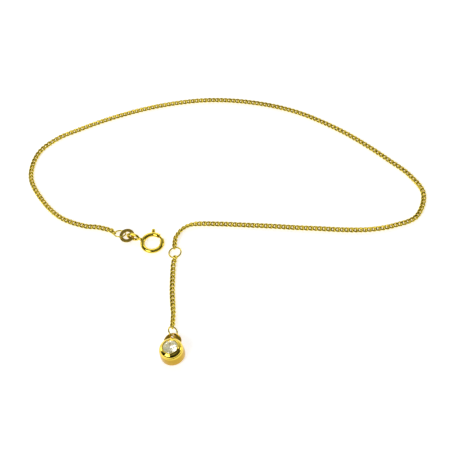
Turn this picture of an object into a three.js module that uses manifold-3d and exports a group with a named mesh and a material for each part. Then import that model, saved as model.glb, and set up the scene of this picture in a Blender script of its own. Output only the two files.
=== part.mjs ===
// Chain anklet, laid flat: a fine curb chain closed by a spring-ring clasp at an oval link, and a
// short extension chain that ends in a round setting with one clear stone.
// Millimetres, +Z up. The origin is the middle of the whole outline, on the surface it lies on.

import * as THREE from 'three';
import { mergeVertices } from 'three/addons/utils/BufferGeometryUtils.js';
import Module from 'manifold-3d';

const wasm = await Module();
wasm.setup();

// ---------------------------------------------------------------- driving dimensions

const CHAIN_WIDTH = 1.36;
const CHAIN_THICKNESS = 0.8;
const CHAIN_STEP = 2.8;

// Middle of the main chain, from the end jump ring round the loop to the middle jump ring: x, y, z.
const MAIN_ROUTE = [
  [-29.2, -0.5, 0.5], [-32.2, 0.8, 0.4], [-36.0, 1.8, 0.4], [-41.8, 5.2, 0.4],
  [-46.4, 11.3, 0.4], [-49.3, 18.8, 0.4], [-47.6, 26.3, 0.4], [-42.5, 30.8, 0.4],
  [-36.3, 33.3, 0.4], [-30.0, 35.4, 0.4], [-23.4, 37.1, 0.4], [-16.8, 38.3, 0.4],
  [-10.1, 38.9, 0.4], [-3.3, 38.9, 0.4], [3.4, 38.0, 0.4], [10.0, 36.3, 0.4],
  [16.4, 33.9, 0.4], [22.5, 30.7, 0.4], [28.1, 26.7, 0.4], [33.4, 22.2, 0.4],
  [38.2, 17.3, 0.4], [42.7, 12.1, 0.4], [46.9, 6.8, 0.4], [49.3, 0.5, 0.4],
  [46.3, -6.0, 0.4], [40.3, -8.0, 0.4], [34.2, -8.4, 0.4], [28.1, -7.7, 0.4],
  [22.2, -6.6, 0.4], [16.2, -5.5, 0.4], [10.2, -4.3, 0.4], [4.1, -3.2, 0.4],
  [-2.0, -2.1, 0.4], [-7.8, -1.4, 0.4], [-11.0, -2.4, 0.45], [-12.9, -4.7, 0.5],
  [-13.3, -6.9, 0.55],
];

// Middle of the extension chain, from the middle jump ring to the pendant's jump ring.
const EXTENSION_ROUTE = [
  [-13.75, -11.25, 0.5], [-14.0, -12.4, 0.45], [-14.3, -15.1, 0.4], [-14.7, -19.5, 0.4],
  [-14.8, -23.9, 0.4], [-14.8, -26.0, 0.45], [-15.0, -28.0, 0.5], [-15.1, -29.3, 0.6],
];

// Round-wire jump rings. tilt turns a ring about its own X, lean about its own Y, then turn about Z.
const RINGS = [
  {
    name: 'end_jump_ring', radius: 1.43, wire: 0.185,
    at: [-26.67, -2.11, 0.78], turn: -17.2, tilt: -24.2, lean: -0.6,
  },
  {
    name: 'middle_jump_ring', radius: 1.5, wire: 0.19,
    at: [-13.43, -9.2, 0.58], turn: 0, tilt: -4, lean: -8,
  },
  {
    name: 'pendant_jump_ring', radius: 1.2, wire: 0.18,
    at: [-15.15, -31.0, 0.97], turn: 0, tilt: 0, lean: 40,
  },
];

// Flat oval link between the end jump ring and the clasp's eye.
const OVAL_HALF_LENGTH = 1.92;
const OVAL_HALF_WIDTH = 1.82;
const OVAL_HOLE_HALF_LENGTH = 1.08;
const OVAL_HOLE_HALF_WIDTH = 1.0;
const OVAL_THICKNESS = 0.3;
const OVAL_AT = [-24.92, -3.0, 0.94];
const OVAL_TURN = -15.1;
const OVAL_TILT = 11.2;
const OVAL_LEAN = -5.2;

// Spring-ring clasp: a ring of tube with a gap, closed by a sliding tongue.
const CLASP_AT = [-18.8, -5.65, 0.57];
const CLASP_RADIUS = 2.43;
const TUBE_RADIUS = 0.57;
const BORE_RADIUS = 0.42;
const TONGUE_RADIUS = 0.31;
const GAP_FROM = 14;
const GAP_TO = 45;
const TONGUE_FROM = 9;
const TONGUE_TO = 97;
const KNOB_ANGLE = 83;
const TRIGGER_TRAVEL = 37;
const BORE_SPARE = 4;
const SLOT_SPARE = 8;
const SLOT_WIDTH = 0.56;
const KNOB_STEM_RADIUS = 0.2;
const KNOB_BASE_RADIUS = 0.37;
const KNOB_HEAD_RADIUS = 0.46;
const KNOB_CROWN_RADIUS = 0.32;
const KNOB_HEAD_FROM = 3.12;
const KNOB_HEAD_MIDDLE = 3.61;
const KNOB_CROWN_FROM = 3.98;
const KNOB_TOP = 4.1;

// Wire eye soldered to the clasp ring; it stands nearly on edge, linked through the oval link.
const EYE_ANGLE = 156.2;
const EYE_DISTANCE = 5.02;
const EYE_HALF_LENGTH = 1.42;
const EYE_HALF_WIDTH = 0.72;
const EYE_WIRE = 0.35;
const EYE_RISE = -0.8;
const EYE_ROLL = -72.8;
const EYE_Z = 0.47;
const NECK_RADIUS = 0.36;

// Pendant: a round setting with a flat back, a ring-shaped lug and one brilliant-cut stone. It lies
// on one edge of its back and leans. Heights are above the middle of its back.
const PENDANT_AT = [-15.5, -36.65, 0.25];
const PENDANT_TILT = -3;
const PENDANT_LEAN = -4.5;
const BODY_RADIUS = 2.93;
const BACK_CHAMFER = 0.3;
const RIM_RADIUS = 2.74;
const RIM_HEIGHT = 2.85;
const RIM_BEVEL = 0.07;
const LIP_RADIUS = 1.82;
const LIP_HEIGHT = 3.85;
const LIP_BEVEL = 0.09;
const LIP_INNER_RADIUS = 1.66;
const LIP_INNER_FALL = 0.05;
const COLLAR_BULGE = 0.1;
const SEAT_GAP = 0.06;
const LUG_AT = [0.2, 3.05, 0.92];
const LUG_RADIUS = 2.1;
const LUG_THICKNESS = 0.56;
const LUG_HOLE_AT = [0.32, 4.42];
const LUG_HOLE_RADIUS = 0.38;

const STONE_RADIUS = 1.7;
const GIRDLE_LOW = 3.56;
const GIRDLE_HIGH = 3.62;
const CROWN_HEIGHT = 0.46;
const TABLE_RADIUS = 0.98;
const PAVILION_DEPTH = 1.3;

const radians = THREE.MathUtils.degToRad;

// ---------------------------------------------------------------- materials

function gold(color, roughness) {
  return new THREE.MeshStandardMaterial({ color, roughness, metalness: 1 });
}

const chainGold = gold(0xd9ae3a, 0.2);
const ringGold = gold(0xdcb544, 0.15);
const satinGold = gold(0xc29f3c, 0.4);
const claspGold = gold(0xdfb23e, 0.12);
const settingGold = gold(0xe2b53c, 0.1);
const clearStone = new THREE.MeshStandardMaterial({
  color: 0xf4f6f2, roughness: 0.02, metalness: 0, transparent: true, opacity: 0.35,
});

// ---------------------------------------------------------------- shared helpers

class ArcPath extends THREE.Curve {
  constructor(radius, from, to) {
    super();
    this.radius = radius;
    this.from = radians(from);
    this.to = radians(to);
  }

  getPoint(t, target = new THREE.Vector3()) {
    const angle = this.from + (this.to - this.from) * t;
    return target.set(this.radius * Math.cos(angle), this.radius * Math.sin(angle), 0);
  }
}

// A regular section whose flats lie at the two half sizes; height is along Z on a level path.
function section(halfHeight, halfWidth, sides) {
  const reach = 1 / Math.cos(Math.PI / sides);
  const corners = [];
  for (let i = 0; i < sides; i++) {
    const angle = 2 * Math.PI * (i + 0.5) / sides;
    const x = halfHeight * reach * Math.cos(angle);
    const y = halfWidth * reach * Math.sin(angle);
    corners.push(new THREE.Vector2(x, y));
  }
  return new THREE.Shape(corners);
}

function sweep(path, shape, steps) {
  return new THREE.ExtrudeGeometry(shape, { steps, bevelEnabled: false, extrudePath: path });
}

function arcRod(radius, from, to, shape) {
  const stepAngle = 5;
  return sweep(new ArcPath(radius, from, to), shape, Math.ceil((to - from) / stepAngle));
}

// A closed loop of round wire whose centreline is an ellipse in the XY plane.
function wireLoop(halfLength, halfWidth, wire, sides, steps) {
  const loop = new THREE.TorusGeometry(1, 1, sides, steps);
  const position = loop.attributes.position;
  for (let j = 0; j <= sides; j++) {
    const around = 2 * Math.PI * (j % sides) / sides;
    for (let i = 0; i <= steps; i++) {
      const along = 2 * Math.PI * (i % steps) / steps;
      const outward = new THREE.Vector2(halfWidth * Math.cos(along), halfLength * Math.sin(along));
      outward.normalize().multiplyScalar(wire * Math.cos(around));
      const x = halfLength * Math.cos(along) + outward.x;
      const y = halfWidth * Math.sin(along) + outward.y;
      position.setXYZ(j * (steps + 1) + i, x, y, wire * Math.sin(around));
    }
  }
  return loop;
}

function toSolid(geometry) {
  const bare = geometry.clone();
  bare.deleteAttribute('normal');
  bare.deleteAttribute('uv');
  const merged = mergeVertices(bare, 1e-5);
  const vertProperties = new Float32Array(merged.attributes.position.array);
  const triVerts = new Uint32Array(merged.index.array);
  return new wasm.Manifold(new wasm.Mesh({ numProp: 3, vertProperties, triVerts }));
}

function toGeometry(solid) {
  const mesh = solid.getMesh();
  const geometry = new THREE.BufferGeometry();
  geometry.setAttribute('position', new THREE.BufferAttribute(mesh.vertProperties, 3));
  geometry.setIndex(new THREE.BufferAttribute(mesh.triVerts, 1));
  geometry.computeVertexNormals();
  return geometry;
}

function turned(geometry, turn, tilt, lean) {
  const matrix = new THREE.Matrix4().makeRotationZ(radians(turn));
  matrix.multiply(new THREE.Matrix4().makeRotationX(radians(tilt)));
  matrix.multiply(new THREE.Matrix4().makeRotationY(radians(lean)));
  return geometry.applyMatrix4(matrix);
}

function node(name, geometry, material, at = [0, 0, 0]) {
  const mesh = new THREE.Mesh(geometry, material);
  mesh.name = name;
  mesh.position.set(...at);
  return mesh;
}

// ---------------------------------------------------------------- chains and rings

function chain(name, route) {
  const path = new THREE.CatmullRomCurve3(route.map((p) => new THREE.Vector3(...p)), false, 'catmullrom');
  const steps = Math.round(path.getLength() / CHAIN_STEP);
  const shape = section(CHAIN_THICKNESS / 2, CHAIN_WIDTH / 2, 8);
  return node(name, sweep(path, shape, steps), chainGold);
}

function jumpRing({ name, radius, wire, at, turn, tilt, lean }) {
  return node(name, turned(wireLoop(radius, radius, wire, 8, 36), turn, tilt, lean), ringGold, at);
}

function ovalLink() {
  const outline = new THREE.Shape();
  outline.absellipse(0, 0, OVAL_HALF_LENGTH, OVAL_HALF_WIDTH, 0, 2 * Math.PI);
  const hole = new THREE.Path();
  hole.absellipse(0, 0, OVAL_HOLE_HALF_LENGTH, OVAL_HOLE_HALF_WIDTH, 0, 2 * Math.PI);
  outline.holes.push(hole);
  const plate = new THREE.ExtrudeGeometry(outline, {
    depth: OVAL_THICKNESS, bevelEnabled: false, curveSegments: 20,
  });
  plate.translate(0, 0, -OVAL_THICKNESS / 2);
  return node('oval_link', turned(plate, OVAL_TURN, OVAL_TILT, OVAL_LEAN), satinGold, OVAL_AT);
}

// ---------------------------------------------------------------- clasp

function claspEye() {
  const eye = wireLoop(EYE_HALF_LENGTH, EYE_HALF_WIDTH, EYE_WIRE, 10, 36);
  turned(eye, 0, EYE_ROLL, 0);
  eye.rotateY(radians(-EYE_RISE));
  eye.translate(EYE_DISTANCE, 0, EYE_Z);
  return eye.rotateZ(radians(EYE_ANGLE));
}

// Short solder neck that climbs from the middle of the tube to the eye's near end.
function claspNeck() {
  const reach = EYE_DISTANCE - EYE_HALF_LENGTH * Math.cos(radians(EYE_RISE)) - CLASP_RADIUS;
  const climb = EYE_Z - EYE_HALF_LENGTH * Math.sin(radians(EYE_RISE));
  const length = Math.hypot(reach, climb);
  const neck = new THREE.CylinderGeometry(NECK_RADIUS, NECK_RADIUS, length, 12);
  neck.rotateX(Math.PI / 2);
  neck.translate(0, 0, length / 2);
  neck.rotateY(Math.atan2(reach, climb));
  neck.translate(CLASP_RADIUS, 0, 0);
  return neck.rotateZ(radians(EYE_ANGLE));
}

function claspRing() {
  const tube = arcRod(CLASP_RADIUS, GAP_TO, 360 + GAP_FROM, section(TUBE_RADIUS, TUBE_RADIUS, 12));
  const boreShape = section(BORE_RADIUS, BORE_RADIUS, 12);
  const boreTo = TONGUE_TO + TRIGGER_TRAVEL + BORE_SPARE;
  const bore = arcRod(CLASP_RADIUS, GAP_TO - BORE_SPARE, boreTo, boreShape);
  const socket = arcRod(CLASP_RADIUS, TONGUE_FROM - BORE_SPARE, GAP_FROM + BORE_SPARE, boreShape);
  const slotDepth = TUBE_RADIUS;
  const slotShape = section(SLOT_WIDTH / 2, slotDepth / 2, 4);
  const slotTo = KNOB_ANGLE + TRIGGER_TRAVEL + SLOT_SPARE;
  const slot = arcRod(CLASP_RADIUS + slotDepth, KNOB_ANGLE - SLOT_SPARE, slotTo, slotShape);
  const solid = toSolid(tube).add(toSolid(claspNeck())).add(toSolid(claspEye()))
    .subtract(toSolid(bore)).subtract(toSolid(socket)).subtract(toSolid(slot));
  return node('clasp_ring', toGeometry(solid), claspGold, CLASP_AT);
}

function claspTrigger() {
  const tongueShape = section(TONGUE_RADIUS, TONGUE_RADIUS, 10);
  const tongue = arcRod(CLASP_RADIUS, TONGUE_FROM, TONGUE_TO, tongueShape);
  const knob = new THREE.LatheGeometry([
    new THREE.Vector2(0, CLASP_RADIUS),
    new THREE.Vector2(KNOB_STEM_RADIUS, CLASP_RADIUS),
    new THREE.Vector2(KNOB_STEM_RADIUS, KNOB_HEAD_FROM),
    new THREE.Vector2(KNOB_BASE_RADIUS, KNOB_HEAD_FROM),
    new THREE.Vector2(KNOB_HEAD_RADIUS, KNOB_HEAD_MIDDLE),
    new THREE.Vector2(KNOB_CROWN_RADIUS, KNOB_CROWN_FROM),
    new THREE.Vector2(0, KNOB_TOP),
  ], 16);
  knob.rotateZ(radians(KNOB_ANGLE - 90));
  const solid = toSolid(tongue).add(toSolid(knob));
  return node('clasp_trigger', toGeometry(solid), claspGold, CLASP_AT);
}

// ---------------------------------------------------------------- pendant

function lathed(profile, segments) {
  const points = profile.map(([radius, height]) => new THREE.Vector2(radius, height));
  return new THREE.LatheGeometry(points, segments).rotateX(Math.PI / 2);
}

// The collar rises from the rim to the stone's lip in a slightly bulging slope.
function collarProfile() {
  const profile = [];
  const from = new THREE.Vector2(RIM_RADIUS - RIM_BEVEL, RIM_HEIGHT + RIM_BEVEL);
  const to = new THREE.Vector2(LIP_RADIUS + LIP_BEVEL, LIP_HEIGHT - LIP_BEVEL);
  const parts = 5;
  for (let i = 0; i <= parts; i++) {
    const bulge = COLLAR_BULGE * Math.sin(Math.PI * i / parts);
    const point = from.clone().lerp(to, i / parts);
    profile.push([point.x + bulge, point.y + bulge]);
  }
  return profile;
}

function settingBody() {
  const seatRadius = STONE_RADIUS + SEAT_GAP;
  return lathed([
    [0, 0],
    [BODY_RADIUS - BACK_CHAMFER, 0],
    [BODY_RADIUS, BACK_CHAMFER],
    [RIM_RADIUS, RIM_HEIGHT],
    ...collarProfile(),
    [LIP_RADIUS, LIP_HEIGHT],
    [LIP_INNER_RADIUS, LIP_HEIGHT - LIP_INNER_FALL],
    [LIP_INNER_RADIUS, GIRDLE_HIGH + SEAT_GAP + LIP_INNER_FALL],
    [seatRadius, GIRDLE_HIGH + SEAT_GAP],
    [seatRadius, GIRDLE_LOW - SEAT_GAP],
    [0, GIRDLE_LOW - PAVILION_DEPTH - 2 * SEAT_GAP],
  ], 40);
}

// Ring-shaped ear, rounded in section, whose hole lies towards its far side.
function lug() {
  const sides = 12;
  const steps = 36;
  const ear = new THREE.TorusGeometry(1, 1, sides, steps);
  const position = ear.attributes.position;
  for (let j = 0; j <= sides; j++) {
    const around = 2 * Math.PI * (j % sides) / sides;
    const height = LUG_AT[2] + LUG_THICKNESS / 2 * Math.sin(around);
    for (let i = 0; i <= steps; i++) {
      const along = 2 * Math.PI * (i % steps) / steps;
      const way = new THREE.Vector2(Math.cos(along), Math.sin(along));
      const outer = new THREE.Vector2(LUG_AT[0], LUG_AT[1]).addScaledVector(way, LUG_RADIUS);
      const inner = new THREE.Vector2(...LUG_HOLE_AT).addScaledVector(way, LUG_HOLE_RADIUS);
      const spot = inner.lerp(outer, (1 + Math.cos(around)) / 2);
      position.setXYZ(j * (steps + 1) + i, spot.x, spot.y, height);
    }
  }
  return ear;
}

function setting() {
  const geometry = toGeometry(toSolid(settingBody()).add(toSolid(lug())));
  const leaned = turned(geometry, 0, PENDANT_TILT, PENDANT_LEAN);
  return node('pendant_setting', leaned, settingGold, PENDANT_AT);
}

function stone() {
  const profile = [
    [0, GIRDLE_LOW - PAVILION_DEPTH],
    [STONE_RADIUS, GIRDLE_LOW],
    [STONE_RADIUS, GIRDLE_HIGH],
    [TABLE_RADIUS, GIRDLE_HIGH + CROWN_HEIGHT],
    [0, GIRDLE_HIGH + CROWN_HEIGHT],
  ];
  const leaned = turned(lathed(profile, 16), 0, PENDANT_TILT, PENDANT_LEAN);
  return node('pendant_stone', leaned, clearStone, PENDANT_AT);
}

// ---------------------------------------------------------------- assembly

const anklet = new THREE.Group();
anklet.add(chain('main_chain', MAIN_ROUTE));
anklet.add(chain('extension_chain', EXTENSION_ROUTE));
for (const ring of RINGS) {
  anklet.add(jumpRing(ring));
}
anklet.add(ovalLink());
anklet.add(claspRing());
anklet.add(claspTrigger());
anklet.add(setting());
anklet.add(stone());

export default anklet;
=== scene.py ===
"""Chain anklet laid flat: curb chains, spring-ring clasp, oval link and a pendant with one stone."""

import math
import random

import bmesh
import bpy
import numpy as np
from mathutils import Matrix, Vector

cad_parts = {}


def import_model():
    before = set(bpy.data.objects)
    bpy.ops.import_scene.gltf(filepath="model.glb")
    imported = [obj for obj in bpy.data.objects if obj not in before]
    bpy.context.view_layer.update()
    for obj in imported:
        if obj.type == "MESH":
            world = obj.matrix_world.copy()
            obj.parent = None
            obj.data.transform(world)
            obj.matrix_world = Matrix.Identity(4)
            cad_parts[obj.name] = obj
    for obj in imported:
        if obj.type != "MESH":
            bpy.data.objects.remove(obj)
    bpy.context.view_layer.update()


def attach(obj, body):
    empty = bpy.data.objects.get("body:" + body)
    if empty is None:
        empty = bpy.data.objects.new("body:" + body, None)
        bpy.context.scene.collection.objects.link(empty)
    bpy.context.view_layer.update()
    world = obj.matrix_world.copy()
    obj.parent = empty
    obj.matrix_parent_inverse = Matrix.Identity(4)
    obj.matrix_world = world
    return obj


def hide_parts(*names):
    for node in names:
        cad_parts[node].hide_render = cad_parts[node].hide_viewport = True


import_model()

MM = 0.001
random.seed(7)

# ---------------------------------------------------------------- sizes in millimetres

# Middle of the main chain, as the CAD model has it, with the end links' reach into the rings.
MAIN_ROUTE = [
    (-28.33, -1.35, 0.7),
    (-29.2, -0.5, 0.5), (-32.2, 0.8, 0.4), (-36.0, 1.8, 0.4), (-41.8, 5.2, 0.4),
    (-46.4, 11.3, 0.4), (-49.3, 18.8, 0.4), (-47.6, 26.3, 0.4), (-42.5, 30.8, 0.4),
    (-36.3, 33.3, 0.4), (-30.0, 35.4, 0.4), (-23.4, 37.1, 0.4), (-16.8, 38.3, 0.4),
    (-10.1, 38.9, 0.4), (-3.3, 38.9, 0.4), (3.4, 38.0, 0.4), (10.0, 36.3, 0.4),
    (16.4, 33.9, 0.4), (22.5, 30.7, 0.4), (28.1, 26.7, 0.4), (33.4, 22.2, 0.4),
    (38.2, 17.3, 0.4), (42.7, 12.1, 0.4), (46.9, 6.8, 0.4), (49.3, 0.5, 0.4),
    (46.3, -6.0, 0.4), (40.3, -8.0, 0.4), (34.2, -8.4, 0.4), (28.1, -7.7, 0.4),
    (22.2, -6.6, 0.4), (16.2, -5.5, 0.4), (10.2, -4.3, 0.4), (4.1, -3.2, 0.4),
    (-2.0, -2.1, 0.4), (-7.8, -1.4, 0.4), (-11.0, -2.4, 0.45), (-12.9, -4.7, 0.55),
    (-13.3, -6.4, 0.62), (-13.4, -7.32, 0.62),
]
EXTENSION_ROUTE = [
    (-13.55, -11.05, 0.6), (-13.7, -11.6, 0.55), (-14.0, -12.4, 0.45), (-14.3, -15.1, 0.4),
    (-14.7, -19.5, 0.4), (-14.8, -23.9, 0.4), (-14.8, -26.0, 0.5), (-15.0, -28.0, 0.68),
    (-15.12, -29.42, 0.92),
]
LINK_PITCH = 1.1
LINK_WIRE = 0.225
LINK_HALF_LENGTH = 0.77
LINK_HALF_WIDTH = 0.465
LINK_TWIST = 0.2
LINK_CLEARANCE = 0.005
LINK_ROLL_JITTER = 2

# Round-wire jump rings. A ring is leaned about Y, tilted about X and turned about Z, in that order.
RINGS = {
    "end_jump_ring": dict(
        radius=1.43, wire=0.185, at=(-26.67, -2.11, 0.78), turn=-17.2, tilt=-24.2, lean=-0.6, seam=-60,
    ),
    "middle_jump_ring": dict(
        radius=1.5, wire=0.19, at=(-13.43, -9.2, 0.58), turn=0, tilt=-4, lean=-8, seam=200,
    ),
    "pendant_jump_ring": dict(
        radius=1.2, wire=0.18, at=(-15.15, -31.0, 0.97), turn=0, tilt=0, lean=40, seam=15,
    ),
}

OVAL_HALF_LENGTH, OVAL_HALF_WIDTH = 1.92, 1.82
OVAL_HOLE_HALF_LENGTH, OVAL_HOLE_HALF_WIDTH = 1.08, 1.0
OVAL_THICKNESS = 0.3
OVAL_CORNER = 0.09
OVAL_AT = (-24.92, -3.0, 0.94)
OVAL_TURN, OVAL_TILT, OVAL_LEAN = -15.1, 11.2, -5.2

CLASP_AT = (-18.8, -5.65, 0.57)
CLASP_RADIUS = 2.43
TUBE_RADIUS = 0.57
BORE_RADIUS = 0.42
TONGUE_RADIUS = 0.31
GAP_FROM, GAP_TO = 14, 45
TONGUE_FROM, TONGUE_TO = 9, 97
KNOB_ANGLE = 83
TRAVEL = 37
BORE_SPARE = 4
SLOT_SPARE = 8
SLOT_HALF_WIDTH = 0.28
SLOT_FROM, SLOT_TO = 0.02, 0.9
KNOB_STEM_RADIUS = 0.2
KNOB_BASE_RADIUS = 0.36
KNOB_HEAD_RADIUS = 0.46
KNOB_HEAD_MIDDLE = 3.62
KNOB_TOP = 4.1

# The eye is a soldered loop that stands nearly on edge, its far side uppermost.
EYE_ANGLE = 156.2
EYE_DISTANCE = 5.02
EYE_HALF_LENGTH, EYE_HALF_WIDTH = 1.42, 0.72
EYE_WIRE = 0.35
EYE_RISE, EYE_ROLL = -0.8, -72.8
EYE_Z = 0.47
NECK_RISE = 22

# The setting lies on one edge of its back and leans. Its own parts are placed before the lean.
PENDANT_AT = (-15.5, -36.65, 0.25)
PENDANT_TILT, PENDANT_LEAN = -3, -4.5
BODY_RADIUS = 2.93
RIM_RADIUS = 2.74
RIM_HEIGHT = 2.85
LIP_RADIUS = 1.82
LIP_HEIGHT = 3.85
STONE_RADIUS = 1.7
TABLE_EDGE_RADIUS = 0.98
GIRDLE_LOW, GIRDLE_HIGH = 3.56, 3.62
TABLE_HEIGHT = 4.08
FOOT_RADIUS = 0.35
LUG_AT = (0.2, 3.05, 0.92)
LUG_RADIUS = 2.1
LUG_THICKNESS = 0.56
LUG_HOLE_AT = (0.32, 4.42)
LUG_HOLE_RADIUS = 0.38


# ---------------------------------------------------------------- materials

def painted_floor_reflection_below(nodes, links, place, color, painted_reflection_band):
    """Painted reflection of a dim floor: redder, darker gold up to a height in millimetres, the given
    colour above.
    """
    height, painted_reflection_color = painted_reflection_band
    split = nodes.new("ShaderNodeSeparateXYZ")
    links.new(place, split.inputs["Vector"])
    above = nodes.new("ShaderNodeMapRange")
    above.inputs["From Min"].default_value = (height - 0.25) * MM
    above.inputs["From Max"].default_value = (height + 0.25) * MM
    links.new(split.outputs["Z"], above.inputs["Value"])
    mix = nodes.new("ShaderNodeMix")
    mix.data_type = "RGBA"
    painted_reflection_input, color_input = mix.inputs[6], mix.inputs[7]
    painted_reflection_input.default_value = (*painted_reflection_color, 1)
    links.new(above.outputs["Result"], mix.inputs["Factor"])
    links.new(color, color_input)
    return mix.outputs[2]


def gold(name, color, roughness, grain=0.0, shade=0.06, painted_reflection_band=None):
    """Gold whose colour and roughness drift a little. The optional band is a height and the painted
    reflection colour below it.
    """
    material = bpy.data.materials.new(name)
    material.use_nodes = True
    nodes, links = material.node_tree.nodes, material.node_tree.links
    shader = nodes["Principled BSDF"]
    shader.inputs["Metallic"].default_value = 1.0
    place = nodes.new("ShaderNodeTexCoord")
    drift = nodes.new("ShaderNodeTexNoise")
    drift.inputs["Scale"].default_value = 700
    drift.inputs["Detail"].default_value = 3
    links.new(place.outputs["Object"], drift.inputs["Vector"])
    tone = nodes.new("ShaderNodeValToRGB")
    dark = [c * (1 - shade) for c in color]
    light = [min(1.0, c * (1 + shade)) for c in color]
    tone.color_ramp.elements[0].position = 0.3
    tone.color_ramp.elements[0].color = (dark[0], dark[1] * 0.97, dark[2] * 0.9, 1)
    tone.color_ramp.elements[1].position = 0.7
    tone.color_ramp.elements[1].color = (*light, 1)
    links.new(drift.outputs["Fac"], tone.inputs["Fac"])
    color_out = tone.outputs["Color"]
    # Painted reflection: below the given height the colour turns darker and redder, standing in for dim
    # floor reflections.
    if painted_reflection_band:
        color_out = painted_floor_reflection_below(nodes, links, place.outputs["Object"], color_out, painted_reflection_band)
    links.new(color_out, shader.inputs["Base Color"])
    fine = nodes.new("ShaderNodeTexNoise")
    fine.inputs["Scale"].default_value = 9000
    fine.inputs["Detail"].default_value = 4
    links.new(place.outputs["Object"], fine.inputs["Vector"])
    spread = nodes.new("ShaderNodeMapRange")
    spread.inputs["To Min"].default_value = roughness * 0.7
    spread.inputs["To Max"].default_value = roughness * 1.3
    links.new(fine.outputs["Fac"], spread.inputs["Value"])
    links.new(spread.outputs["Result"], shader.inputs["Roughness"])
    if grain:
        bump = nodes.new("ShaderNodeBump")
        bump.inputs["Strength"].default_value = grain
        bump.inputs["Distance"].default_value = 0.00001
        links.new(fine.outputs["Fac"], bump.inputs["Height"])
        links.new(bump.outputs["Normal"], shader.inputs["Normal"])
    return material


def stone_material():
    """Clear, strongly refracting stone with a trace of warmth that varies through it, and a faint painted
    glow.
    """
    material = bpy.data.materials.new("clear_stone")
    material.use_nodes = True
    nodes, links = material.node_tree.nodes, material.node_tree.links
    shader = nodes["Principled BSDF"]
    shader.inputs["Transmission Weight"].default_value = 1.0
    shader.inputs["IOR"].default_value = 2.15
    shader.inputs["Roughness"].default_value = 0.0
    place = nodes.new("ShaderNodeTexCoord")
    cloud = nodes.new("ShaderNodeTexNoise")
    cloud.inputs["Scale"].default_value = 500
    links.new(place.outputs["Object"], cloud.inputs["Vector"])
    tone = nodes.new("ShaderNodeValToRGB")
    tone.color_ramp.elements[0].color = (1.0, 0.98, 0.86, 1)
    tone.color_ramp.elements[1].color = (1.0, 1.0, 0.95, 1)
    links.new(cloud.outputs["Fac"], tone.inputs["Fac"])
    links.new(tone.outputs["Color"], shader.inputs["Base Color"])
    # Painted glow: a faint pale yellow emission lifts the stone's brightness, though it is no lamp.
    shader.inputs["Emission Color"].default_value = (1.0, 0.97, 0.6, 1)
    shader.inputs["Emission Strength"].default_value = 0.08
    return material


GOLD = (0.83, 0.65, 0.085)
chain_gold = gold("chain_gold", (0.75, 0.6, 0.085), 0.2, grain=0.2)
ring_gold = gold("ring_gold", (0.7, 0.57, 0.09), 0.16, grain=0.15)
satin_gold = gold("satin_gold", (0.5, 0.36, 0.06), 0.36, grain=0.5)
clasp_gold = gold("clasp_gold", GOLD, 0.1, grain=0.1)
# Painted reflection: the setting's side below its rim, and its lug, are coloured darker and redder than its
# top, in place of dim floor reflections.
setting_gold = gold("setting_gold", (0.92, 0.7, 0.1), 0.05, painted_reflection_band=(2.9, (0.58, 0.36, 0.035)))
clear_stone = stone_material()


# ---------------------------------------------------------------- mesh helpers

def mesh_from(name, points, faces):
    """A mesh from points in millimetres."""
    mesh = bpy.data.meshes.new(name)
    mesh.from_pydata((np.asarray(points, float) * MM).tolist(), [], faces)
    mesh.update()
    return mesh


def piece(name, mesh, material, body, node, sharp=None):
    """Puts a mesh in the scene as the piece that stands for one CAD node."""
    mesh.materials.clear()
    mesh.materials.append(material)
    mesh.shade_smooth()
    if sharp is not None:
        mesh.set_sharp_from_angle(angle=math.radians(sharp))
    thing = bpy.data.objects.new(name, mesh)
    bpy.context.scene.collection.objects.link(thing)
    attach(thing, body)
    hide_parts(node)
    return thing


def grid_faces(rows, columns, close_rows, close_columns, start=0):
    """Quads over a grid of points, closed round on itself either way."""
    faces = []
    for i in range(rows if close_rows else rows - 1):
        for j in range(columns if close_columns else columns - 1):
            a = start + i * columns + j
            b = start + i * columns + (j + 1) % columns
            c = start + ((i + 1) % rows) * columns + (j + 1) % columns
            d = start + ((i + 1) % rows) * columns + j
            faces.append((a, b, c, d))
    return faces


def sweep_arc(radius, from_angle, to_angle, profile, steps):
    """A rod that follows an arc in the XY plane. profile holds (across, up) pairs, in turn."""
    points = []
    for i in range(steps + 1):
        angle = math.radians(from_angle + (to_angle - from_angle) * i / steps)
        for across, up in profile:
            reach = radius + across
            points.append((reach * math.cos(angle), reach * math.sin(angle), up))
    sides = len(profile)
    faces = [tuple(reversed(f)) for f in grid_faces(steps + 1, sides, False, True)]
    faces.append(tuple(range(sides)))
    faces.append(tuple(reversed(range(steps * sides, (steps + 1) * sides))))
    return points, faces


def circle(radius, sides):
    turn = 2 * math.pi / sides
    angles = [turn * (k + 0.5) for k in range(sides)]
    return [(radius * math.cos(angle), radius * math.sin(angle)) for angle in angles]


def lathe(profile, segments):
    """Turns (radius, height) pairs about Z. The first and last pair lie on the axis."""
    inner = profile[1:-1]
    points = [(0, 0, profile[0][1])]
    for radius, height in inner:
        for k in range(segments):
            angle = 2 * math.pi * k / segments
            points.append((radius * math.cos(angle), radius * math.sin(angle), height))
    last = len(points)
    points.append((0, 0, profile[-1][1]))
    faces = grid_faces(len(inner), segments, False, True, start=1)
    for k in range(segments):
        after = (k + 1) % segments
        faces.append((0, 1 + after, 1 + k))
        top = last - segments
        faces.append((last, top + k, top + after))
    return points, faces


def arc_points(centre, radius, from_angle, to_angle, count):
    """Points of a round corner in a lathe profile."""
    out = []
    for i in range(count + 1):
        angle = math.radians(from_angle + (to_angle - from_angle) * i / count)
        out.append((centre[0] + radius * math.cos(angle), centre[1] + radius * math.sin(angle)))
    return out


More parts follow.
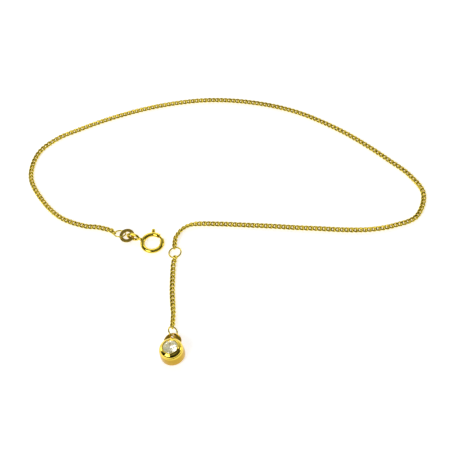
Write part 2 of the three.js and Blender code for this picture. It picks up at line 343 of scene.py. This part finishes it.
def posed(points, at=(0, 0, 0), turn=0, tilt=0, lean=0):
    """Points turned about Y, then X, then Z, and moved."""
    matrix = Matrix.Rotation(math.radians(turn), 3, "Z") @ Matrix.Rotation(math.radians(tilt), 3, "X")
    matrix = matrix @ Matrix.Rotation(math.radians(lean), 3, "Y")
    return np.asarray(points, float) @ np.array(matrix).T + np.asarray(at, float)


def solid(name, points, faces):
    thing = bpy.data.objects.new(name, mesh_from(name, points, faces))
    bpy.context.scene.collection.objects.link(thing)
    work = bmesh.new()
    work.from_mesh(thing.data)
    bmesh.ops.recalc_face_normals(work, faces=work.faces)
    work.to_mesh(thing.data)
    work.free()
    return thing


def combined(base, others):
    """base with each (operation, solid) applied in turn; the solids are used up."""
    for operation, other in others:
        cut = base.modifiers.new("cut", "BOOLEAN")
        cut.operation = operation
        cut.solver = "EXACT"
        cut.object = other
    graph = bpy.context.evaluated_depsgraph_get()
    mesh = bpy.data.meshes.new_from_object(base.evaluated_get(graph))
    for thing in [base] + [other for _, other in others]:
        bpy.data.objects.remove(thing)
    return mesh


# ---------------------------------------------------------------- chains

def spline(route, per_span=40):
    """Dense points along the same curve that the CAD tube follows."""
    knots = [np.array(p, float) for p in route]
    knots = [2 * knots[0] - knots[1]] + knots + [2 * knots[-1] - knots[-2]]
    points = []
    for i in range(1, len(knots) - 2):
        p0, p1, p2, p3 = knots[i - 1:i + 3]
        for t in np.arange(per_span) / per_span:
            points.append(0.5 * (2 * p1 + (p2 - p0) * t + (2 * p0 - 5 * p1 + 4 * p2 - p3) * t * t
                                 + (3 * p1 - p0 - 3 * p2 + p3) * t ** 3))
    points.append(knots[-2])
    return np.array(points)


def curb_link(steps=36, sides=10):
    """One twisted link about its own centre: along X, across Y, up Z."""
    points = []
    for i in range(steps):
        t = 2 * math.pi * i / steps
        centre = Vector((LINK_HALF_LENGTH * math.cos(t), LINK_HALF_WIDTH * math.sin(t),
                         LINK_TWIST * math.sin(2 * t)))
        ahead = Vector((-LINK_HALF_LENGTH * math.sin(t), LINK_HALF_WIDTH * math.cos(t),
                        2 * LINK_TWIST * math.cos(2 * t))).normalized()
        out = Vector((LINK_HALF_WIDTH * math.cos(t), LINK_HALF_LENGTH * math.sin(t), 0))
        out = (out - out.dot(ahead) * ahead).normalized()
        up = ahead.cross(out)
        for k in range(sides):
            angle = 2 * math.pi * k / sides
            spot = centre + LINK_WIRE * (math.cos(angle) * out + math.sin(angle) * up)
            points.append(tuple(spot))
    return np.array(points), grid_faces(steps, sides, True, True)


def chain(name, node, route, roll_at):
    """Curb links along a route. roll_at(links from start, links from end) turns each about the chain."""
    curve = spline(route)
    along = np.concatenate([[0], np.cumsum(np.linalg.norm(np.diff(curve, axis=0), axis=1))])
    count = round(along[-1] / LINK_PITCH) + 1
    link_points, link_faces = curb_link()
    points, faces = [], []
    for i in range(count):
        s = along[-1] * i / (count - 1)
        centre = np.array([np.interp(s, along, curve[:, k]) for k in range(3)])
        step = LINK_PITCH / 2
        ahead = np.array([np.interp(s + step, along, curve[:, k]) - np.interp(s - step, along, curve[:, k])
                          for k in range(3)])
        ahead = Vector(ahead).normalized()
        side = Vector((0, 0, 1)).cross(ahead).normalized()
        roll = math.radians(roll_at(i, count - 1 - i) + random.uniform(-LINK_ROLL_JITTER, LINK_ROLL_JITTER))
        side = Matrix.Rotation(roll, 3, ahead) @ side
        up = ahead.cross(side)
        axes = np.array([tuple(ahead), tuple(side), tuple(up)])
        start = i * len(link_points)
        placed = link_points @ axes + centre
        placed[:, 2] += max(0.0, LINK_CLEARANCE - placed[:, 2].min())
        points.append(placed)
        faces += [tuple(start + v for v in f) for f in link_faces]
    mesh = mesh_from(name, np.concatenate(points), faces)
    return piece(name, mesh, chain_gold, "anklet", node, sharp=40)


def main_roll(from_start, from_end):
    """Flat, but turned part way on edge at the end ring and over the last links to the middle ring."""
    start = 35 * max(0.0, 1 - from_start / 1.5)
    end = 38 * min(1.0, max(0.0, (9 - from_end) / 3))
    return start + end


def extension_roll(from_start, from_end):
    """Turned part way on edge at both ends, where the links meet the rings."""
    start = 35 * max(0.0, 1 - from_start / 2.5)
    end = 38 * min(1.0, max(0.0, (6 - from_end) / 2.5))
    return start + end


# ---------------------------------------------------------------- rings, oval link

def jump_ring(name, radius, wire, at, turn, tilt, lean, seam):
    """Round wire bent to a ring whose ends meet in a hairline butt joint."""
    gap = 0.6
    points, faces = sweep_arc(radius, seam + gap, seam + 360 - gap, circle(wire, 20), 120)
    mesh = mesh_from(name, posed(points, at, turn, tilt, lean), faces)
    return piece(name, mesh, ring_gold, "anklet", name, sharp=40)


def oval_link():
    """Flat washer-like link with rounded edges."""
    steps = 96
    flat = OVAL_THICKNESS / 2 - OVAL_CORNER
    section = []
    for outside, side, start in ((1, 1, 0), (0, 1, 90), (0, -1, 180), (1, -1, 270)):
        for k in range(5):
            angle = math.radians(start + 90 * k / 4)
            height = side * flat + math.sin(angle) * OVAL_CORNER
            section.append((outside, math.cos(angle) * OVAL_CORNER, height))
    points = []
    for i in range(steps):
        t = 2 * math.pi * i / steps
        outer = np.array((OVAL_HALF_LENGTH * math.cos(t), OVAL_HALF_WIDTH * math.sin(t)))
        inner = np.array((OVAL_HOLE_HALF_LENGTH * math.cos(t), OVAL_HOLE_HALF_WIDTH * math.sin(t)))
        across = (outer - inner) / np.linalg.norm(outer - inner)
        for outside, shift, height in section:
            edge = outer - across * OVAL_CORNER if outside else inner + across * OVAL_CORNER
            spot = edge + across * shift
            points.append((spot[0], spot[1], height))
    faces = [tuple(reversed(f)) for f in grid_faces(steps, len(section), True, True)]
    mesh = mesh_from("oval_link_detail", posed(points, OVAL_AT, OVAL_TURN, OVAL_TILT, OVAL_LEAN), faces)
    return piece("oval_link_detail", mesh, satin_gold, "anklet", "oval_link", sharp=50)


# ---------------------------------------------------------------- clasp

def eye_points(sides=24, steps=112):
    """Closed loop of round wire, rolled about its length and rising a little away from the clasp."""
    points = []
    for i in range(steps):
        t = 2 * math.pi * i / steps
        out = Vector((EYE_HALF_WIDTH * math.cos(t), EYE_HALF_LENGTH * math.sin(t), 0)).normalized()
        for k in range(sides):
            angle = 2 * math.pi * k / sides
            reach = EYE_WIRE * math.cos(angle)
            x = EYE_HALF_LENGTH * math.cos(t) + out.x * reach
            y = EYE_HALF_WIDTH * math.sin(t) + out.y * reach
            points.append((x, y, EYE_WIRE * math.sin(angle)))
    points = posed(points, tilt=EYE_ROLL)
    points = posed(points, at=(EYE_DISTANCE, 0, EYE_Z), lean=-EYE_RISE)
    return posed(points, turn=EYE_ANGLE), grid_faces(steps, sides, True, True)


def clasp_ring():
    """C-shaped tube with its bore, trigger slot, collar and soldered eye."""
    points, faces = sweep_arc(CLASP_RADIUS, GAP_TO, 360 + GAP_FROM, circle(TUBE_RADIUS, 48), 160)
    tube = solid("tube", points, faces)
    bore_shape = circle(BORE_RADIUS, 32)
    bore_to = TONGUE_TO + TRAVEL + BORE_SPARE
    bore = solid("bore", *sweep_arc(CLASP_RADIUS, GAP_TO - BORE_SPARE, bore_to, bore_shape, 60))
    socket_from, socket_to = TONGUE_FROM - BORE_SPARE, GAP_FROM + BORE_SPARE
    socket = solid("socket", *sweep_arc(CLASP_RADIUS, socket_from, socket_to, bore_shape, 12))
    slot_profile = [
        (SLOT_FROM, -SLOT_HALF_WIDTH), (SLOT_TO, -SLOT_HALF_WIDTH),
        (SLOT_TO, SLOT_HALF_WIDTH), (SLOT_FROM, SLOT_HALF_WIDTH),
    ]
    slot_from, slot_to = KNOB_ANGLE - SLOT_SPARE, KNOB_ANGLE + TRAVEL + SLOT_SPARE
    slot = solid("slot", *sweep_arc(CLASP_RADIUS, slot_from, slot_to, slot_profile, 40))
    collar_profile = [
        (0, 0.17), (0.3, 0.17), (0.4, 0.5), (0.42, 0.68), (0.36, 0.84), (0.33, 1.06), (0, 1.06),
    ]
    collar_points, collar_faces = lathe(collar_profile, 32)
    collar_points = posed(collar_points, at=(CLASP_RADIUS, 0, 0), lean=90 - NECK_RISE)
    collar = solid("collar", posed(collar_points, turn=EYE_ANGLE), collar_faces)
    eye = solid("eye", *eye_points())
    mesh = combined(tube, [
        ("UNION", collar), ("UNION", eye),
        ("DIFFERENCE", bore), ("DIFFERENCE", socket), ("DIFFERENCE", slot),
    ])
    mesh.transform(Matrix.Translation(Vector(CLASP_AT) * MM))
    return piece("clasp_ring_detail", mesh, clasp_gold, "anklet", "clasp_ring", sharp=38)


def clasp_trigger():
    """Tongue of round section with flat ends, and its knob on a short neck."""
    points, faces = sweep_arc(CLASP_RADIUS, TONGUE_FROM, TONGUE_TO, circle(TONGUE_RADIUS, 28), 50)
    tongue = solid("tongue", points, faces)
    profile = [
        (0, CLASP_RADIUS), (KNOB_STEM_RADIUS, CLASP_RADIUS), (KNOB_STEM_RADIUS, 3.02), (0.24, 3.1),
        (KNOB_BASE_RADIUS, 3.14),
    ]
    for degrees in range(15, 91, 15):
        angle = math.radians(degrees)
        profile.append((KNOB_BASE_RADIUS + 0.1 * math.sin(angle), 3.36 - 0.22 * math.cos(angle)))
    for degrees in range(0, 90, 10):
        angle = math.radians(degrees)
        height = KNOB_HEAD_MIDDLE + KNOB_HEAD_RADIUS * math.sin(angle) * 1.04
        profile.append((KNOB_HEAD_RADIUS * math.cos(angle), height))
    profile.append((0, KNOB_TOP))
    knob_points, knob_faces = lathe(profile, 40)
    knob_points = posed(knob_points, lean=90)
    knob = solid("knob", posed(knob_points, turn=KNOB_ANGLE), knob_faces)
    mesh = combined(tongue, [("UNION", knob)])
    mesh.transform(Matrix.Translation(Vector(CLASP_AT) * MM))
    return piece("clasp_trigger_detail", mesh, clasp_gold, "trigger", "clasp_trigger", sharp=38)


# ---------------------------------------------------------------- pendant

def setting_profile():
    """Half section of the setting, from the middle of its back to the bottom of the stone's seat."""
    foot = FOOT_RADIUS
    profile = [(0, 0), (BODY_RADIUS - foot - 0.05, 0)]
    profile += arc_points((BODY_RADIUS - foot - 0.03, foot), foot, -90, -10, 8)
    for i in range(1, 8):
        t = i / 8
        belly = (BODY_RADIUS - RIM_RADIUS) * (1 - t ** 2.2)
        profile.append((RIM_RADIUS + belly, foot + (RIM_HEIGHT - foot) * t))
    profile += arc_points((RIM_RADIUS - 0.03, RIM_HEIGHT), 0.03, 0, 50, 3)
    start = (RIM_RADIUS - 0.04, RIM_HEIGHT + 0.045)
    end = (LIP_RADIUS + 0.1, LIP_HEIGHT - 0.12)
    for i in range(1, 12):
        t = i / 12
        bulge = 0.1 * math.sin(math.pi * t)
        radius = start[0] + (end[0] - start[0]) * t + bulge
        height = start[1] + (end[1] - start[1]) * t + bulge
        profile.append((radius, height))
    profile += arc_points((LIP_RADIUS, LIP_HEIGHT - 0.1), 0.1, 20, 170, 8)
    profile += [(STONE_RADIUS - 0.04, GIRDLE_HIGH + 0.09), (STONE_RADIUS + 0.05, GIRDLE_HIGH + 0.06)]
    profile += [(STONE_RADIUS + 0.05, GIRDLE_LOW - 0.06), (0.5, 2.4), (0.42, 1.6), (0, 1.6)]
    return profile


def lug_points():
    """Ring-shaped ear, fully rounded, whose hole lies towards its far side."""
    steps, sides = 96, 24
    half = LUG_THICKNESS / 2
    points = []
    for i in range(steps):
        t = 2 * math.pi * i / steps
        way = np.array((math.cos(t), math.sin(t)))
        outer = np.array(LUG_AT[:2]) + LUG_RADIUS * way
        inner = np.array(LUG_HOLE_AT) + LUG_HOLE_RADIUS * way
        middle, reach = (outer + inner) / 2, (outer - inner) / 2
        for k in range(sides):
            angle = 2 * math.pi * k / sides
            across = math.copysign(abs(math.cos(angle)) ** 0.75, math.cos(angle))
            spot = middle + reach * across
            points.append((spot[0], spot[1], LUG_AT[2] + half * math.sin(angle)))
    return points, grid_faces(steps, sides, True, True)


def setting():
    points, faces = lathe(setting_profile(), 128)
    body = solid("body", posed(points, PENDANT_AT, tilt=PENDANT_TILT, lean=PENDANT_LEAN), faces)
    points, faces = lug_points()
    lug = solid("lug", posed(points, PENDANT_AT, tilt=PENDANT_TILT, lean=PENDANT_LEAN), faces)
    mesh = combined(body, [("UNION", lug)])
    return piece("pendant_setting_detail", mesh, setting_gold, "anklet", "pendant_setting",
                 sharp=32)


def stone():
    """Round brilliant, cut from a block by the plane of each facet."""
    work = bmesh.new()
    bmesh.ops.create_cone(work, cap_ends=True, segments=64, radius1=STONE_RADIUS,
                          radius2=STONE_RADIUS, depth=4)
    for v in work.verts:
        v.co.z += 3.0

    def cut(azimuth, slope, radius, height, above):
        """Cuts away what is outside a facet that passes through (radius, height) at this azimuth."""
        a, s = math.radians(azimuth), math.radians(slope)
        normal = Vector((math.sin(s) * math.cos(a), math.sin(s) * math.sin(a), math.cos(s) * above))
        spot = Vector((radius * math.cos(a), radius * math.sin(a), height))
        result = bmesh.ops.bisect_plane(work, geom=work.verts[:] + work.edges[:] + work.faces[:],
                                        plane_co=spot, plane_no=normal, clear_outer=True)
        rim = [e for e in result["geom_cut"] if isinstance(e, bmesh.types.BMEdge)]
        if rim:
            bmesh.ops.contextual_create(work, geom=rim)

    cut(0, 0, 0, TABLE_HEIGHT, 1)
    for k in range(8):
        cut(45 * k, 34, STONE_RADIUS, GIRDLE_HIGH, 1)
    for k in range(16):
        cut(22.5 * k + 11.25, 41, STONE_RADIUS * 0.9957, GIRDLE_HIGH, 1)
    for k in range(8):
        cut(45 * k + 22.5, 21, TABLE_EDGE_RADIUS, TABLE_HEIGHT, 1)
    for k in range(8):
        cut(45 * k, 41, STONE_RADIUS, GIRDLE_LOW, -1)
    for k in range(16):
        cut(22.5 * k + 11.25, 42.5, STONE_RADIUS * 0.9957, GIRDLE_LOW, -1)
    bmesh.ops.remove_doubles(work, verts=work.verts, dist=0.0005)
    bmesh.ops.recalc_face_normals(work, faces=work.faces)
    leaned = posed([v.co for v in work.verts], PENDANT_AT, 0, PENDANT_TILT, PENDANT_LEAN)
    for v, spot in zip(work.verts, leaned):
        v.co = Vector(spot) * MM
    mesh = bpy.data.meshes.new("pendant_stone_detail")
    work.to_mesh(mesh)
    work.free()
    return piece("pendant_stone_detail", mesh, clear_stone, "anklet", "pendant_stone",
                 sharp=1)


# ---------------------------------------------------------------- stage

# Brightness of the tent of light: from the near side (0) to the far side (1), its share left at each
# height above the horizon, and what the top of the tent adds at each height.
NEAR_TO_FAR = [(0.0, 0.015), (0.35, 0.02), (0.5, 0.09), (0.65, 0.3), (0.75, 0.7), (1.0, 1.0)]
SHARE_BY_HEIGHT = [(0.0, 1.0), (0.3, 0.8), (0.62, 0.62), (0.75, 0.35), (0.86, 0.12), (1.0, 0.0)]
TOP_BY_HEIGHT = [(0.0, 0.0), (0.76, 0.01), (0.9, 0.22), (0.97, 0.36), (1.0, 0.36)]
RIGHT_SHARE = 0.05


def floor():
    half, drop = 1500, -0.02
    corners = [(-half, -half, drop), (half, -half, drop), (half, half, drop), (-half, half, drop)]
    mesh = mesh_from("floor", corners, [(0, 1, 2, 3)])
    material = bpy.data.materials.new("floor_pale")
    material.use_nodes = True
    nodes, links = material.node_tree.nodes, material.node_tree.links
    shader = nodes["Principled BSDF"]
    shader.inputs["Roughness"].default_value = 0.7
    shader.inputs["Specular IOR Level"].default_value = 0.1
    grain = nodes.new("ShaderNodeTexNoise")
    grain.inputs["Scale"].default_value = 60
    tone = nodes.new("ShaderNodeValToRGB")
    tone.color_ramp.elements[0].color = (0.9, 0.9, 0.9, 1)
    tone.color_ramp.elements[1].color = (0.93, 0.93, 0.93, 1)
    links.new(grain.outputs["Fac"], tone.inputs["Fac"])
    links.new(tone.outputs["Color"], shader.inputs["Base Color"])
    shader.inputs["Emission Color"].default_value = (1, 1, 1, 1)
    shader.inputs["Emission Strength"].default_value = 0.62
    mesh.materials.append(material)
    thing = bpy.data.objects.new("floor", mesh)
    bpy.context.scene.collection.objects.link(thing)


def softbox(name, at, size, power):
    """A rectangular lamp that faces the object. Metres and watts."""
    lamp = bpy.data.lights.new(name, "AREA")
    lamp.shape = "RECTANGLE"
    lamp.size, lamp.size_y = size
    lamp.energy = power
    thing = bpy.data.objects.new(name, lamp)
    thing.location = at
    thing.rotation_mode = "QUATERNION"
    thing.rotation_quaternion = (-Vector(at)).to_track_quat("-Z", "Y")
    bpy.context.scene.collection.objects.link(thing)


def level_ramp(nodes, links, source, stops):
    """Grey level by position along a ramp."""
    ramp = nodes.new("ShaderNodeValToRGB")
    links.new(source, ramp.inputs["Fac"])
    steps = ramp.color_ramp.elements
    steps[0].position, steps[1].position = stops[0][0], stops[-1][0]
    for position, _ in stops[1:-1]:
        steps.new(position)
    for step, (_, level) in zip(steps, stops):
        step.color = (level, level, level, 1)
    return ramp.outputs["Color"]


def multiply_add(nodes, links, first, second, third):
    """first * second + third, where each is a number or another node's output."""
    node = nodes.new("ShaderNodeMath")
    node.operation = "MULTIPLY_ADD"
    for socket, value in zip(node.inputs, (first, second, third)):
        if isinstance(value, (int, float)):
            socket.default_value = value
        else:
            links.new(value, socket)
    return node.outputs["Value"]


def world():
    """A soft tent of light: bright at the far side, middling overhead and dim at the near side."""
    scene = bpy.context.scene
    scene.world = bpy.data.worlds.new("studio")
    scene.world.use_nodes = True
    nodes, links = scene.world.node_tree.nodes, scene.world.node_tree.links
    place = nodes.new("ShaderNodeTexCoord")
    split = nodes.new("ShaderNodeSeparateXYZ")
    links.new(place.outputs["Generated"], split.inputs["Vector"])
    depth = multiply_add(nodes, links, split.outputs["Y"], 0.5, 0.5)
    glow = level_ramp(nodes, links, depth, NEAR_TO_FAR)
    glow = multiply_add(nodes, links, split.outputs["X"], RIGHT_SHARE, glow)
    share = level_ramp(nodes, links, split.outputs["Z"], SHARE_BY_HEIGHT)
    top = level_ramp(nodes, links, split.outputs["Z"], TOP_BY_HEIGHT)
    back = nodes["Background"]
    back.inputs["Color"].default_value = (1.0, 0.99, 0.97, 1)
    links.new(multiply_add(nodes, links, glow, share, top), back.inputs["Strength"])


def camera():
    """Looks down at 55.5 degrees from 202 mm up, with the slight roll of a hand-held view."""
    height, back, side = 0.20196, 0.1411, -0.00064
    pitch, roll = math.radians(55.5), math.radians(6.04)
    data = bpy.data.cameras.new("camera")
    data.sensor_width = 36
    data.lens = 79.2
    data.clip_start = 0.01
    data.clip_end = 10
    thing = bpy.data.objects.new("camera", data)
    bpy.context.scene.collection.objects.link(thing)
    right = Vector((1, 0, 0))
    down = Vector((0, -math.sin(pitch), -math.cos(pitch)))
    ahead = Vector((0, math.cos(pitch), -math.sin(pitch)))
    image_right = math.cos(roll) * right + math.sin(roll) * down
    image_up = math.sin(roll) * right - math.cos(roll) * down
    matrix = Matrix((image_right, image_up, -ahead)).transposed().to_4x4()
    matrix.translation = Vector((side, -back, height))
    thing.matrix_world = matrix
    bpy.context.scene.camera = thing


camera()
world()
floor()
softbox("far_light", (0.0, 0.6, 0.46), (0.5, 0.2), 0.9)
softbox("left_light", (-0.62, 0.3, 0.2), (0.3, 0.2), 0.4)
softbox("right_light", (0.7, 0.1, 0.22), (0.25, 0.2), 0.5)
softbox("near_light", (-0.42, -0.40, 0.44), (0.42, 0.32), 1.9)
bpy.context.scene.view_settings.view_transform = "Standard"

chain("main_chain_links", "main_chain", MAIN_ROUTE, main_roll)
chain("extension_chain_links", "extension_chain", EXTENSION_ROUTE, extension_roll)
for ring_name, ring in RINGS.items():
    made = jump_ring(ring_name, **ring)
    made.name = ring_name + "_wire"
oval_link()
clasp_ring()
clasp_trigger()
setting()
stone()
